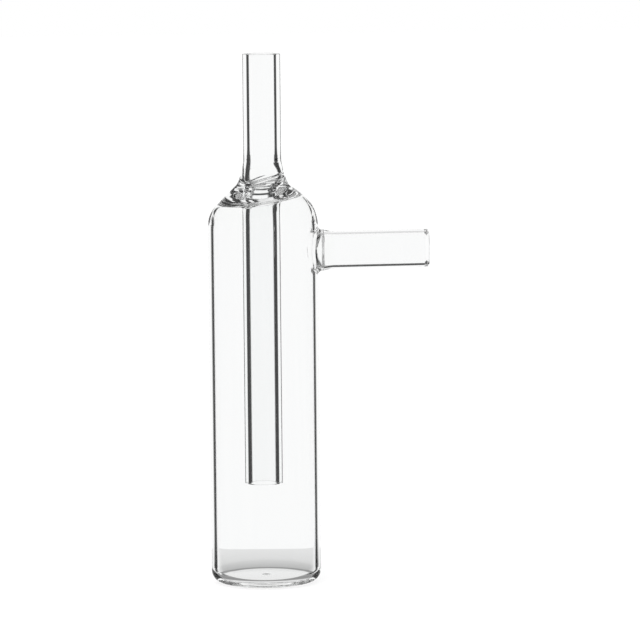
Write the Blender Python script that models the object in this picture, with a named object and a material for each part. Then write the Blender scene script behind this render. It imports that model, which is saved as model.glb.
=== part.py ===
"""Side-arm bubbler tube in clear borosilicate glass, built from its glassblown sections.

Metres, +Z up. The origin is the centre of the flat base, and the side arm points along +X.
"""

import math

import bmesh
import bpy

MM = 0.001

# Body tube, drawn from plain tubing
BODY_OUTER_DIAMETER = 29.2 * MM
BODY_WALL = 1.35 * MM
BODY_TUBE_LENGTH = 86.9 * MM

# Flat base with a rounded, slightly swollen heel and a pip at the middle of its floor
BASE_HEIGHT = 8.0 * MM
BASE_THICKNESS = 1.8 * MM
HEEL_RADIUS = 3.2 * MM
HEEL_SWELL = 0.15 * MM
FLOOR_FILLET_RADIUS = 0.7 * MM
PIP_RADIUS = 1.5 * MM
PIP_HEIGHT = 0.5 * MM

# Shoulder, drawn in from the body towards the stem, with a round ceiling inside
SHOULDER_BEND_RADIUS = 8.0 * MM
SHOULDER_SLOPE = math.radians(45)

# Ring seal, where the shoulder, the stem and the dip tube are fused
NECK_FILLET_RADIUS = 6.0 * MM
UNDERSIDE_FILLET_HEIGHT = 1.3 * MM
SEAL_BORE_FLARE = 0.7 * MM

# Inlet stem above the seal and dip tube below it
STEM_OUTER_DIAMETER = 10.0 * MM
STEM_WALL = 1.5 * MM
STEM_LENGTH = 29.8 * MM
DIP_TUBE_OUTER_DIAMETER = 10.0 * MM
DIP_TUBE_WALL = 1.5 * MM
DIP_TUBE_FLOOR_CLEARANCE = 24.8 * MM

# Side arm and the boss that joins it to the body
ARM_OUTER_DIAMETER = 10.0 * MM
ARM_WALL = 0.8 * MM
ARM_LENGTH = 24.85 * MM
ARM_DROP = 6.8 * MM
ARM_LIP_LENGTH = 1.2 * MM
ARM_LIP_SWELL = 0.35 * MM
BOSS_RISE = 1.2 * MM
BOSS_STRAIGHT = 0.9 * MM
BOSS_TAPER = 3.4 * MM
BOSS_HOLE_FLARE = 0.6 * MM

# Rounding of the fire-polished tube ends, and the gap between neighbouring sections
FIRE_POLISH_RADIUS = 0.25 * MM
JOINT_GAP = 0.3 * MM

BODY_SEGMENTS = 48
TUBE_SEGMENTS = 32
ARC_STEPS = 5

# Radii that follow from the sizes above
BODY_RADIUS = BODY_OUTER_DIAMETER / 2
BODY_BORE_RADIUS = BODY_RADIUS - BODY_WALL
STEM_RADIUS = STEM_OUTER_DIAMETER / 2
STEM_BORE_RADIUS = STEM_RADIUS - STEM_WALL
DIP_TUBE_RADIUS = DIP_TUBE_OUTER_DIAMETER / 2
DIP_TUBE_BORE_RADIUS = DIP_TUBE_RADIUS - DIP_TUBE_WALL
ARM_RADIUS = ARM_OUTER_DIAMETER / 2
ARM_BORE_RADIUS = ARM_RADIUS - ARM_WALL
BOSS_RADIUS = ARM_RADIUS + BOSS_RISE
BOSS_HOLE_RADIUS = ARM_BORE_RADIUS + BOSS_HOLE_FLARE

# Heights up the vessel axis
BODY_TUBE_FOOT = BASE_HEIGHT + JOINT_GAP
BODY_TUBE_TOP = BODY_TUBE_FOOT + BODY_TUBE_LENGTH
SHOULDER_FOOT = BODY_TUBE_TOP + JOINT_GAP
CONE_FOOT_RADIUS = BODY_RADIUS - SHOULDER_BEND_RADIUS * (1 - math.cos(SHOULDER_SLOPE))
CONE_FOOT_HEIGHT = SHOULDER_FOOT + SHOULDER_BEND_RADIUS * math.sin(SHOULDER_SLOPE)
SEAL_RADIUS = max(STEM_RADIUS, DIP_TUBE_RADIUS) + NECK_FILLET_RADIUS * (1 - math.sin(SHOULDER_SLOPE))
CEILING_BEND_CENTRE = BODY_RADIUS - SHOULDER_BEND_RADIUS
CEILING_BEND_RADIUS = SHOULDER_BEND_RADIUS - BODY_WALL
ARM_HEIGHT = BODY_TUBE_TOP - ARM_DROP

# Distances along the side arm from the vessel axis
BOSS_WELD = BODY_RADIUS + BOSS_STRAIGHT
BOSS_END = BOSS_WELD + BOSS_TAPER
ARM_START = BOSS_END + JOINT_GAP
ARM_END = ARM_START + ARM_LENGTH


def cone_height(radius):
    """Height of the shoulder's outer cone at a radius."""
    return CONE_FOOT_HEIGHT + (CONE_FOOT_RADIUS - radius) * math.tan(SHOULDER_SLOPE)


def ceiling_angle(radius):
    """Angle on the ceiling's bend at a radius, upright where the ceiling is flat."""
    return math.acos(max(0.0, radius - CEILING_BEND_CENTRE) / CEILING_BEND_RADIUS)


def ceiling_height(radius):
    """Height of the shoulder's round ceiling at a radius."""
    return SHOULDER_FOOT + CEILING_BEND_RADIUS * math.sin(ceiling_angle(radius))


SEAL_CONE_HEIGHT = cone_height(SEAL_RADIUS)
SEAL_CEILING = ceiling_height(SEAL_RADIUS)
SEAL_FOOT = SEAL_CEILING - UNDERSIDE_FILLET_HEIGHT
SEAL_TOP = SEAL_CONE_HEIGHT + NECK_FILLET_RADIUS * math.cos(SHOULDER_SLOPE)
STEM_FOOT = SEAL_TOP + JOINT_GAP
STEM_TOP = STEM_FOOT + STEM_LENGTH
DIP_TUBE_FOOT = BASE_THICKNESS + DIP_TUBE_FLOOR_CLEARANCE
DIP_TUBE_TOP = SEAL_FOOT - JOINT_GAP


def arc(centre_radius, centre_height, radius, start, end):
    """Profile points along an arc, from one angle to another in radians."""
    points = []
    for step in range(ARC_STEPS + 1):
        angle = start + (end - start) * step / ARC_STEPS
        points.append(
            (centre_radius + radius * math.cos(angle), centre_height + radius * math.sin(angle))
        )
    return points


def ease(start, end):
    """Profile points of a smooth S-curve between two (radius, height) points, ends included."""
    points = []
    for step in range(ARC_STEPS + 1):
        share = step / ARC_STEPS
        blend = (1 - math.cos(math.pi * share)) / 2
        points.append(
            (start[0] + (end[0] - start[0]) * blend, start[1] + (end[1] - start[1]) * share)
        )
    return points


def glass(name):
    """Clear glass for one section."""
    material = bpy.data.materials.new(name + "_glass")
    material.use_nodes = True
    shader = material.node_tree.nodes["Principled BSDF"]
    shader.inputs["Base Color"].default_value = (0.94, 0.96, 0.96, 1.0)
    shader.inputs["Roughness"].default_value = 0.02
    shader.inputs["Metallic"].default_value = 0.0
    shader.inputs["IOR"].default_value = 1.47
    shader.inputs["Transmission Weight"].default_value = 1.0
    return material


def add_object(name, mesh_data, parent):
    """Turn bmesh data into a named object under the part's empty."""
    mesh = bpy.data.meshes.new(name)
    mesh_data.to_mesh(mesh)
    mesh_data.free()
    mesh.shade_smooth()
    mesh.set_sharp_from_angle(angle=math.radians(35))
    section = bpy.data.objects.new(name, mesh)
    bpy.context.scene.collection.objects.link(section)
    section.parent = parent
    return section


def turned(name, profile, segments, parent):
    """Spin a closed (radius, height) profile about the local Z axis into a solid section."""
    data = bmesh.new()
    corners = [data.verts.new((radius, 0.0, height)) for radius, height in profile]
    edges = [
        data.edges.new((corner, corners[(index + 1) % len(corners)]))
        for index, corner in enumerate(corners)
    ]
    bmesh.ops.spin(
        data,
        geom=corners + edges,
        cent=(0.0, 0.0, 0.0),
        axis=(0.0, 0.0, 1.0),
        angle=math.tau,
        steps=segments,
        use_merge=True,
    )
    bmesh.ops.remove_doubles(data, verts=data.verts, dist=0.001 * MM)
    bmesh.ops.recalc_face_normals(data, faces=data.faces)
    section = add_object(name, data, parent)
    section.data.materials.append(glass(name))
    return section


def lay_along_arm(section):
    """Turn a section's local Z to world X, on the side arm's axis."""
    section.location = (0.0, 0.0, ARM_HEIGHT)
    section.rotation_euler = (0.0, math.pi / 2, 0.0)


def rod_cutter(name, radius, length, parent):
    """A plain cylinder about its local Z axis that only cuts other sections."""
    data = bmesh.new()
    bmesh.ops.create_cone(
        data,
        cap_ends=True,
        segments=BODY_SEGMENTS,
        radius1=radius,
        radius2=radius,
        depth=length,
    )
    cutter = add_object(name, data, parent)
    cutter.hide_render = True
    cutter.display_type = "WIRE"
    return cutter


def cut(section, cutter):
    """Take the cutter's space out of a section."""
    modifier = section.modifiers.new("cut_" + cutter.name, "BOOLEAN")
    modifier.operation = "DIFFERENCE"
    modifier.solver = "EXACT"
    modifier.object = cutter


def polished_end(bore_radius, outer_radius, height, facing):
    """Rounded end of a tube wall, listed from the bore to the outside; facing is 1 up or -1 down."""
    radius = min(FIRE_POLISH_RADIUS, (outer_radius - bore_radius) / 3)
    level = height - facing * radius
    inner = arc(bore_radius + radius, level, radius, math.pi, math.pi - facing * math.pi / 2)
    outer = arc(outer_radius - radius, level, radius, facing * math.pi / 2, 0.0)
    return inner + outer


def build_base(parent):
    """Flat bottom, rounded heel and the short wall above it."""
    heel_radius = BODY_RADIUS + HEEL_SWELL
    outside = [(0.0, 0.0)]
    outside += arc(heel_radius - HEEL_RADIUS, HEEL_RADIUS, HEEL_RADIUS, -math.pi / 2, 0.0)
    outside += ease((heel_radius, HEEL_RADIUS), (BODY_RADIUS, BASE_HEIGHT))[1:]
    inside = [(BODY_BORE_RADIUS, BASE_HEIGHT)]
    inside += arc(
        BODY_BORE_RADIUS - FLOOR_FILLET_RADIUS,
        BASE_THICKNESS + FLOOR_FILLET_RADIUS,
        FLOOR_FILLET_RADIUS,
        0.0,
        -math.pi / 2,
    )
    pip = []
    for step in range(ARC_STEPS + 1):
        share = step / ARC_STEPS
        rise = PIP_HEIGHT * (1 - math.cos(math.pi * share)) / 2
        pip.append((PIP_RADIUS * (1 - share), BASE_THICKNESS + rise))
    turned("base", outside + inside + pip, BODY_SEGMENTS, parent)


def build_body_tube(parent):
    """Straight wall with the hole that opens into the side arm."""
    profile = [
        (BODY_RADIUS, BODY_TUBE_FOOT),
        (BODY_RADIUS, BODY_TUBE_TOP),
        (BODY_BORE_RADIUS, BODY_TUBE_TOP),
        (BODY_BORE_RADIUS, BODY_TUBE_FOOT),
    ]
    body = turned("body_tube", profile, BODY_SEGMENTS, parent)
    hole = rod_cutter("side_hole_cutter", BOSS_HOLE_RADIUS, BODY_RADIUS, parent)
    lay_along_arm(hole)
    hole.location.x = BODY_RADIUS
    cut(body, hole)


def build_shoulder(parent):
    """Wall that bends in from the body to a cone, thickest by the ring seal under a flat ceiling."""
    rim_radius = SEAL_RADIUS + JOINT_GAP
    outside = arc(CEILING_BEND_CENTRE, SHOULDER_FOOT, SHOULDER_BEND_RADIUS, 0.0, SHOULDER_SLOPE)
    outside.append((rim_radius, cone_height(rim_radius)))
    inside = [(rim_radius, ceiling_height(rim_radius))]
    inside += arc(CEILING_BEND_CENTRE, SHOULDER_FOOT, CEILING_BEND_RADIUS, ceiling_angle(rim_radius), 0.0)
    turned("shoulder", outside + inside, BODY_SEGMENTS, parent)


def build_ring_seal(parent):
    """Thick fused ring with a neck fillet outside, a concave underside and a flared bore."""
    fillet_centre = SEAL_RADIUS + NECK_FILLET_RADIUS * math.sin(SHOULDER_SLOPE)
    outside = arc(
        fillet_centre,
        SEAL_TOP,
        NECK_FILLET_RADIUS,
        math.pi,
        math.pi * 1.5 - SHOULDER_SLOPE,
    )
    outside[0] = (STEM_RADIUS, SEAL_TOP)
    under_width = SEAL_RADIUS - DIP_TUBE_RADIUS
    underside = []
    for step in range(ARC_STEPS + 1):
        turn = math.pi / 2 * (1 - step / ARC_STEPS)
        underside.append(
            (
                SEAL_RADIUS - under_width * math.cos(turn),
                SEAL_FOOT + UNDERSIDE_FILLET_HEIGHT * math.sin(turn),
            )
        )
    bore = []
    for step in range(ARC_STEPS + 1):
        share = step / ARC_STEPS
        plain = DIP_TUBE_BORE_RADIUS + (STEM_BORE_RADIUS - DIP_TUBE_BORE_RADIUS) * share
        flare = SEAL_BORE_FLARE * math.sin(math.pi * share) ** 2
        bore.append((plain + flare, SEAL_FOOT + (SEAL_TOP - SEAL_FOOT) * share))
    turned("ring_seal", outside + underside + bore, TUBE_SEGMENTS, parent)


def build_inlet_stem(parent):
    """Upright tube above the ring seal, fire-polished at its rim."""
    foot = [(STEM_RADIUS, STEM_FOOT), (STEM_BORE_RADIUS, STEM_FOOT)]
    rim = polished_end(STEM_BORE_RADIUS, STEM_RADIUS, STEM_TOP, 1)
    turned("inlet_stem", foot + rim, TUBE_SEGMENTS, parent)


def build_dip_tube(parent):
    """Tube that carries the gas down inside the body, open above the floor."""
    top = [(DIP_TUBE_RADIUS, DIP_TUBE_TOP), (DIP_TUBE_BORE_RADIUS, DIP_TUBE_TOP)]
    end = polished_end(DIP_TUBE_BORE_RADIUS, DIP_TUBE_RADIUS, DIP_TUBE_FOOT, -1)
    turned("dip_tube", top + end, TUBE_SEGMENTS, parent)


def build_side_arm_seal(parent):
    """Boss that sits on the body wall round the hole and tapers to the side arm."""
    buried = BODY_RADIUS / 2
    outside = [(BOSS_RADIUS, buried)]
    outside += ease((BOSS_RADIUS, BOSS_WELD), (ARM_RADIUS, BOSS_END))
    bore = [(ARM_BORE_RADIUS, BOSS_END)]
    bore += ease((ARM_BORE_RADIUS, BOSS_END), (BOSS_HOLE_RADIUS, BOSS_WELD))[1:]
    bore.append((BOSS_HOLE_RADIUS, buried))
    boss = turned("side_arm_seal", outside + bore, TUBE_SEGMENTS, parent)
    lay_along_arm(boss)
    wall = rod_cutter("saddle_cutter", BODY_RADIUS + JOINT_GAP, 4 * BOSS_RADIUS, parent)
    wall.location.z = ARM_HEIGHT
    cut(boss, wall)


def build_side_arm(parent):
    """Outlet tube, with its bore drawn in a little at the fire-polished lip."""
    lip_bore = ARM_BORE_RADIUS - ARM_LIP_SWELL
    lip_start = ARM_END - ARM_LIP_LENGTH
    foot = [(ARM_RADIUS, ARM_START), (ARM_BORE_RADIUS, ARM_START)]
    lip = ease((ARM_BORE_RADIUS, lip_start), (lip_bore, ARM_END - FIRE_POLISH_RADIUS))[:-1]
    rim = polished_end(lip_bore, ARM_RADIUS, ARM_END, 1)
    arm = turned("side_arm", foot + lip + rim, TUBE_SEGMENTS, parent)
    lay_along_arm(arm)


def main():
    """Clear the scene and build every section under one empty."""
    for old in list(bpy.data.objects):
        bpy.data.objects.remove(old, do_unlink=True)
    bubbler = bpy.data.objects.new("bubbler", None)
    bpy.context.scene.collection.objects.link(bubbler)
    build_base(bubbler)
    build_body_tube(bubbler)
    build_shoulder(bubbler)
    build_ring_seal(bubbler)
    build_inlet_stem(bubbler)
    build_dip_tube(bubbler)
    build_side_arm_seal(bubbler)
    build_side_arm(bubbler)


main()
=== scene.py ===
"""Clear glass side-arm bubbler on a plain white ground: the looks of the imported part."""

import logging
import math
from collections.abc import Callable
from dataclasses import dataclass
from enum import Enum

import bpy
import numpy as np
from mathutils import Matrix, Vector


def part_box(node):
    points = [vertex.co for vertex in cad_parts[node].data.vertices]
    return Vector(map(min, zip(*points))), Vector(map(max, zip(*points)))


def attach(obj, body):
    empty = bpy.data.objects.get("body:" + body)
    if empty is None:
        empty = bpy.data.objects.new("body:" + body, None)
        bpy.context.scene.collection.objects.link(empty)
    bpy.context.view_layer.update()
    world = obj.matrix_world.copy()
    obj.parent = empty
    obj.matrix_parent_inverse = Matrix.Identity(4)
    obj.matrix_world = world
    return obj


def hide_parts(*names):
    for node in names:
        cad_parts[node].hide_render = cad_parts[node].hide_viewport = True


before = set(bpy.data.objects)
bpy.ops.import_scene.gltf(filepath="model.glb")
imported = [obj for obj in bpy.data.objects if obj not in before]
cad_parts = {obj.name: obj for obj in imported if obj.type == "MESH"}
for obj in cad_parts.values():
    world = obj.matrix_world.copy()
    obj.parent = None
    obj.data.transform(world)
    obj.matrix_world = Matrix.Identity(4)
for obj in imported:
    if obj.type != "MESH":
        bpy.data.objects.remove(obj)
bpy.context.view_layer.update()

MM = 0.001
BODY = "root"
WELD_STEP = 1e-4 * MM
SLOPE_STEP = 1e-3 * MM
BAND_STEP = 1e-5
WHITE = (1.0, 1.0, 1.0, 1.0)
LOG = logging.getLogger("bubbler")

Array = np.ndarray
Colour = tuple[float, float, float, float]
Point = tuple[float, float]
Socket = bpy.types.NodeSocket
Value = Socket | float


class Skin(Enum):
    """Which finish of a piece a surface takes."""

    GLASS = 0
    JOINT = 1


class Face(Enum):
    """Which side of the glass wall a surface is on, as the sign of its normals."""

    OUTSIDE = 1.0
    BORE = -1.0


def smooth(value: Array, low: float, high: float | Array) -> Array:
    """Ease from 0 at low to 1 at high.

    Args:
        value: What is eased.
        low: Where the ease starts.
        high: Where the ease ends.

    Returns:
        The eased share, between 0 and 1.
    """
    share = np.clip((value - low) / (high - low), 0.0, 1.0)
    return share * share * (3.0 - 2.0 * share)


def hump(value: Array, middle: float, spread: float) -> Array:
    """A rounded hump of height one about a middle value."""
    return np.exp(-(((value - middle) / spread) ** 2))


def unit(vectors: Array) -> Array:
    """Scale vectors along the last axis to length one."""
    return vectors / np.linalg.norm(vectors, axis=-1, keepdims=True)


def even_angles(count: int) -> Array:
    """Angles of evenly spaced columns round a full turn."""
    return np.arange(count) * (2.0 * math.pi / count)


def seam(lower: str, upper: str, axis: int = 2) -> float:
    """Middle of the small gap between two neighbouring nodes along an axis.

    Args:
        lower: Node on the low side of the gap.
        upper: Node on the high side of the gap.
        axis: 0 for X, 2 for Z.

    Returns:
        The coordinate of the fused joint between them.
    """
    return (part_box(lower)[1][axis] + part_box(upper)[0][axis]) / 2


def straight(start: Point, end: Point, count: int) -> Array:
    """Evenly spaced (radius, height) points on a line, ends included."""
    return np.linspace(start, end, count + 1)


def bend(centre: Point, radius: float, first: float, last: float, count: int) -> Array:
    """Points on an arc of a cross-section.

    Args:
        centre: Radius and height of the arc's centre.
        radius: Radius of the arc.
        first: Angle of the first point, in degrees from the outward direction.
        last: Angle of the last point, in degrees.
        count: Number of steps.

    Returns:
        The points, ends included.
    """
    angles = np.radians(np.linspace(first, last, count + 1))
    return np.stack([centre[0] + radius * np.cos(angles), centre[1] + radius * np.sin(angles)], axis=1)


def glide(start: Point, end: Point, count: int) -> Array:
    """Points on an S-curve whose ends run along the height.

    Args:
        start: Radius and height of the first point.
        end: Radius and height of the last point.
        count: Number of steps.

    Returns:
        The points, ends included.
    """
    share = np.linspace(0.0, 1.0, count + 1)
    radii = start[0] + (end[0] - start[0]) * smooth(share, 0.0, 1.0)
    return np.stack([radii, start[1] + (end[1] - start[1]) * share], axis=1)


def chain(*runs: Array) -> Array:
    """Join runs of points end to end.

    Args:
        runs: The runs, in order.

    Returns:
        All their points, with each repeated point kept once.
    """
    points = np.vstack(runs)
    apart = np.linalg.norm(np.diff(points, axis=0), axis=1) > WELD_STEP
    return points[np.concatenate([[True], apart])]


@dataclass
class Strand:
    """One smooth run of a cross-section, listed with the glass on its left."""

    points: Array
    skin: Skin = Skin.GLASS

    def normals(self) -> Array:
        """Work out the directions out of the glass.

        Returns:
            One direction for each point of the run.
        """
        steps = np.linalg.norm(np.diff(self.points, axis=0), axis=1)
        along = np.concatenate([[0.0], np.cumsum(steps)])
        travel = np.gradient(self.points, along, axis=0, edge_order=2 if len(along) > 2 else 1)
        return unit(np.stack([travel[:, 1], -travel[:, 0]], axis=1))


def fused(start: Point, end: Point) -> Strand:
    """The straight run across a fused joint."""
    return Strand(straight(start, end, 1), Skin.JOINT)


@dataclass
class Surface:
    """A grid of points on the glass, with the direction out of the glass at each."""

    points: Array
    normals: Array
    skin: Skin = Skin.GLASS
    wraps: bool = True


def spin(pairs: Array, angles: Array) -> Array:
    """Spread (radius, height) pairs over columns round the axis.

    Args:
        pairs: The pairs, one for each row.
        angles: Angles of the columns, in radians.

    Returns:
        Points or directions in space, by row and column.
    """
    around = np.stack([np.cos(angles), np.sin(angles)], axis=1)
    flat = pairs[:, None, :1] * around[None, :, :]
    rise = np.broadcast_to(pairs[:, None, 1:], flat.shape[:2] + (1,))
    return np.concatenate([flat, rise], axis=2)


def turn(strand: Strand, angles: Array) -> Surface:
    """Turn a run of a cross-section round its axis, as columns that close on themselves."""
    return Surface(spin(strand.points, angles), spin(strand.normals(), angles), strand.skin)


@dataclass(frozen=True)
class Fade:
    """A stretch of radius or height over which a shape comes in or goes out."""

    low: float
    high: float

    def rise(self, value: Array) -> Array:
        """Share that is 0 before the stretch and 1 after it."""
        return smooth(value, self.low, self.high)

    def fall(self, value: Array) -> Array:
        """Share that is 1 before the stretch and 0 after it."""
        return 1.0 - smooth(value, self.low, self.high)


@dataclass(frozen=True)
class Wave:
    """One low wave of the glass round the axis, with its twist in radians for each millimetre of height."""

    lobes: float
    start: float
    twist: float
    share: float

    def at(self, angle: Array, height: Array) -> Array:
        """Height of the wave at angles and heights in millimetres."""
        return self.share * np.cos(self.lobes * angle + self.start + self.twist * height)


@dataclass(frozen=True)
class Handwork:
    """Small uneven shapes that flame work leaves, as one smooth shift of every point."""

    arm_height: float
    wall_radius: float
    wall: float
    cone_top: float
    axis_guard: float = 0.1 * MM
    steep: float = 0.8
    dip_offset: float = -0.4 * MM
    dip_reach: Fade = Fade(5.5 * MM, 8.5 * MM)
    dip_foot: Fade = Fade(20.0 * MM, 24.0 * MM)
    dip_head: Fade = Fade(100.0 * MM, 108.0 * MM)
    swell: float = 0.9 * MM
    swell_reach: Fade = Fade(7.0 * MM, 10.0 * MM)
    swell_foot: Fade = Fade(95.6 * MM, 100.5 * MM)
    ceiling_lean: float = 1.6 * MM
    ceiling_foot: Fade = Fade(96.5 * MM, 100.0 * MM)
    ceiling_cover: Fade = Fade(0.0, 2.0 * MM)
    ceiling_inside: Fade = Fade(3.8 * MM, 5.0 * MM)
    ceiling_outside: Fade = Fade(8.5 * MM, 13.0 * MM)
    crease_lean: float = 1.3 * MM
    crease_foot: Fade = Fade(105.2 * MM, 107.0 * MM)
    crease_head: Fade = Fade(108.5 * MM, 113.0 * MM)
    crease_reach: Fade = Fade(4.4 * MM, 5.8 * MM)
    fillet: float = 0.583 * MM
    fillet_start: float = 6.45 * MM
    fillet_steepest: float = 0.985
    pull: float = 0.23 * MM
    pull_from: float = 4.578 * MM
    pull_reach: float = 5.83 * MM
    pull_above: float = 0.757 * MM
    pull_climb: Fade = Fade(0.0, 6.0 * MM)
    ripple: float = 0.05 * MM
    ripple_foot: Fade = Fade(96.0 * MM, 101.0 * MM)
    ripple_head: Fade = Fade(109.0 * MM, 114.0 * MM)
    waves: tuple[Wave, ...] = (
        Wave(lobes=2.0, start=0.6, twist=0.21, share=1.0),
        Wave(lobes=3.0, start=2.1, twist=-0.37, share=0.6),
        Wave(lobes=5.0, start=4.0, twist=0.9, share=0.45),
    )

    def shift(self, points: Array) -> Array:
        """Move points from the true shape to the hand-worked one.

        Args:
            points: Points of the true shape, in metres.

        Returns:
            The moved points.
        """
        x, y, z = points[..., 0], points[..., 1], points[..., 2]
        radius = np.hypot(x, y)
        safe = np.maximum(radius, self.axis_guard)
        cosine = x / safe
        swelling = self.ripples(np.arctan2(y, x), z)
        hung = self.dip_reach.fall(radius) * self.dip_foot.rise(z) * self.dip_head.fall(z)
        moved = points.copy()
        moved[..., 0] += self.dip_offset * hung + self.drawn(x, y, z, radius) + swelling * cosine
        moved[..., 1] += swelling * y / safe
        moved[..., 2] += self.raised(radius, z, cosine) + self.creased(radius, z, cosine)
        return moved

    def raised(self, radius: Array, z: Array, cosine: Array) -> Array:
        """The shoulder stands fuller over the side arm than on the far side, and so does its ceiling.

        Args:
            radius: Distances from the vessel's axis.
            z: Heights.
            cosine: 1 on the side arm's side, -1 on the far side.

        Returns:
            How far the glass is raised.
        """
        outer = self.swell_reach.rise(radius) * self.swell_foot.rise(z)
        under = self.ceiling_foot.rise(z) * self.ceiling_cover.rise(self.cone_top - radius - z)
        under = under * self.ceiling_inside.rise(radius) * self.ceiling_outside.fall(radius)
        near = (1.0 + cosine) / 2.0
        return self.swell * outer * near**2 + self.ceiling_lean * under * near

    def creased(self, radius: Array, z: Array, cosine: Array) -> Array:
        """The crease in the bore at the ring seal leans to one side."""
        window = self.crease_foot.rise(z) * self.crease_head.fall(z)
        return self.crease_lean * window * cosine * self.crease_reach.fall(radius)

    def drawn(self, x: Array, y: Array, z: Array, radius: Array) -> Array:
        """The wall is drawn out along +X round the side arm, with a small fillet outside.

        Args:
            x: Places along the side arm.
            y: Places across it.
            z: Heights.
            radius: Distances from the vessel's axis.

        Returns:
            How far the glass is drawn out.
        """
        depth = np.clip((self.wall_radius - radius) / self.wall, 0.0, 1.0)
        above = z - self.arm_height
        from_arm = np.hypot(y, above)
        share = np.clip((self.fillet_start - from_arm) / self.fillet, 0.0, self.fillet_steepest)
        rise = self.fillet * (1.0 - np.sqrt(1.0 - share * share)) * (1.0 - depth)
        reach = self.pull_reach + self.pull_above * self.pull_climb.rise(above)
        inner = depth * smooth(radius, self.wall_radius - 2.0 * self.wall, self.wall_radius - self.wall)
        rise = rise + self.pull * inner * (1.0 - smooth(from_arm, self.pull_from, reach))
        return np.where(x > 0.0, rise, 0.0)

    def ripples(self, angle: Array, z: Array) -> Array:
        """Low, uneven swelling of the flame-worked shoulder and neck."""
        worked = self.ripple_foot.rise(z) * self.ripple_head.fall(z)
        return self.ripple * worked * sum(wave.at(angle, z / MM) for wave in self.waves)

    def apply(self, surface: Surface) -> Surface:
        """Move a surface and turn its normals to match.

        Args:
            surface: A surface of the true shape.

        Returns:
            The hand-worked surface.
        """
        normals = surface.normals
        helper = np.where(np.abs(normals[..., 2:3]) < self.steep, [0.0, 0.0, 1.0], [1.0, 0.0, 0.0])
        first = unit(np.cross(normals, helper))
        second = np.cross(normals, first)
        home = self.shift(surface.points)
        one = self.shift(surface.points + SLOPE_STEP * first) - home
        two = self.shift(surface.points + SLOPE_STEP * second) - home
        turned = unit(np.cross(one, two))
        turned = turned * np.sign(np.sum(turned * normals, axis=-1, keepdims=True))
        return Surface(home, turned, surface.skin, surface.wraps)


class Wiring:
    """Short ways to wire nodes in a shader tree."""

    def __init__(self, tree: bpy.types.NodeTree) -> None:
        """Keep the tree that the nodes go into."""
        self.tree = tree

    def add(self, kind: str) -> bpy.types.Node:
        """Add a node of a kind."""
        return self.tree.nodes.new(kind)

    def feed(self, socket: Socket, value: Value) -> None:
        """Link a socket into another, or set it to a number.

        Args:
            socket: The input that is fed.
            value: An output socket, or a number.
        """
        if isinstance(value, (int, float)):
            socket.default_value = value
        else:
            self.tree.links.new(value, socket)

    def maths(self, operation: str, *values: Value) -> Socket:
        """Add a Math node.

        Args:
            operation: Name of the operation.
            values: Its inputs.

        Returns:
            The result's socket.
        """
        node = self.add("ShaderNodeMath")
        node.operation = operation
        for socket, value in zip(node.inputs, values):
            self.feed(socket, value)
        return node.outputs["Value"]

    def ease(self, value: Value, middle: float, soft: float, falling: bool = False) -> Socket:
        """Ease between 0 and 1 about a middle value.

        Args:
            value: What is eased.
            middle: Where the ease is half done.
            soft: Half the width of the ease.
            falling: True to ease from 1 down to 0.

        Returns:
            The eased value's socket.
        """
        node = self.add("ShaderNodeMapRange")
        node.interpolation_type = "SMOOTHSTEP"
        self.feed(node.inputs["Value"], value)
        self.feed(node.inputs["From Min"], middle - soft)
        self.feed(node.inputs["From Max"], middle + soft)
        self.feed(node.inputs["To Min"], 1.0 if falling else 0.0)
        self.feed(node.inputs["To Max"], 0.0 if falling else 1.0)
        return node.outputs["Result"]

    def ramp(self, value: Value, stops: list[tuple[float, Colour]]) -> Socket:
        """Add a colour ramp.

        Args:
            value: What the ramp is read by, between 0 and 1.
            stops: Places and colours, two or more, in order.

        Returns:
            The colour's socket.
        """
        node = self.add("ShaderNodeValToRGB")
        elements = node.color_ramp.elements
        for place, _ in stops[2:]:
            elements.new(place)
        for element, (place, colour) in zip(elements, stops):
            element.position = place
            element.color = colour
        self.feed(node.inputs["Fac"], value)
        return node.outputs["Color"]


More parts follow.
